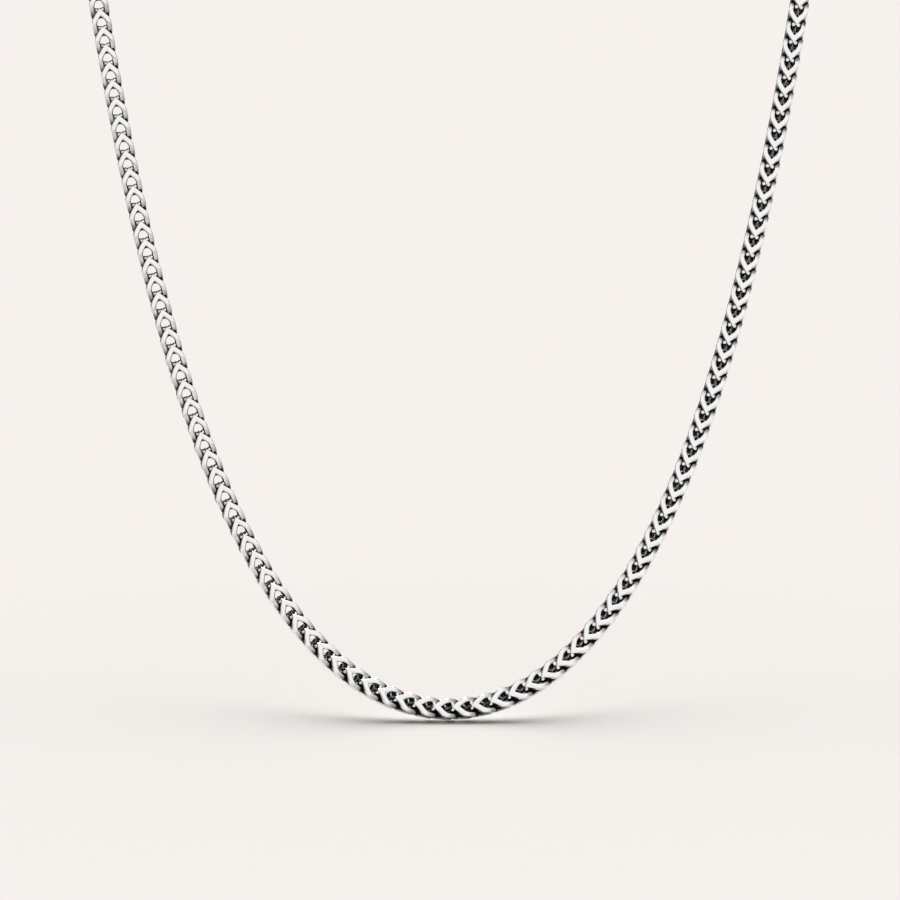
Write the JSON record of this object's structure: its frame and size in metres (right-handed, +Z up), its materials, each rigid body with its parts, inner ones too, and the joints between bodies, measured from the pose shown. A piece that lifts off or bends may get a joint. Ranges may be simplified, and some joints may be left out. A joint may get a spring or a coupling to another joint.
{
  "type": "square foxtail chain necklace",
  "caption": "Silver neck chain of folded, interlocked loops with chevrons along its square sides, hanging in a long curve, closed behind the neck by a plain bar clasp.",
  "frame": {"origin": "the point at the back of the neck that the clasp rests against, in the middle of the clasp's front face", "axes": "+X to the right as the necklace is seen from the front, -Y out of its front, +Z up"},
  "size_m": [0.1254, 0.0883, 0.1526],
  "materials": {
    "silver_chain": "polished silver with darkened recesses",
    "silver_clasp": "polished"
  },
  "bodies": {
    "root": {"chain_left": "silver_chain", "chain_right": "silver_chain", "clasp": "silver_clasp"}
  },
  "joints": []
}
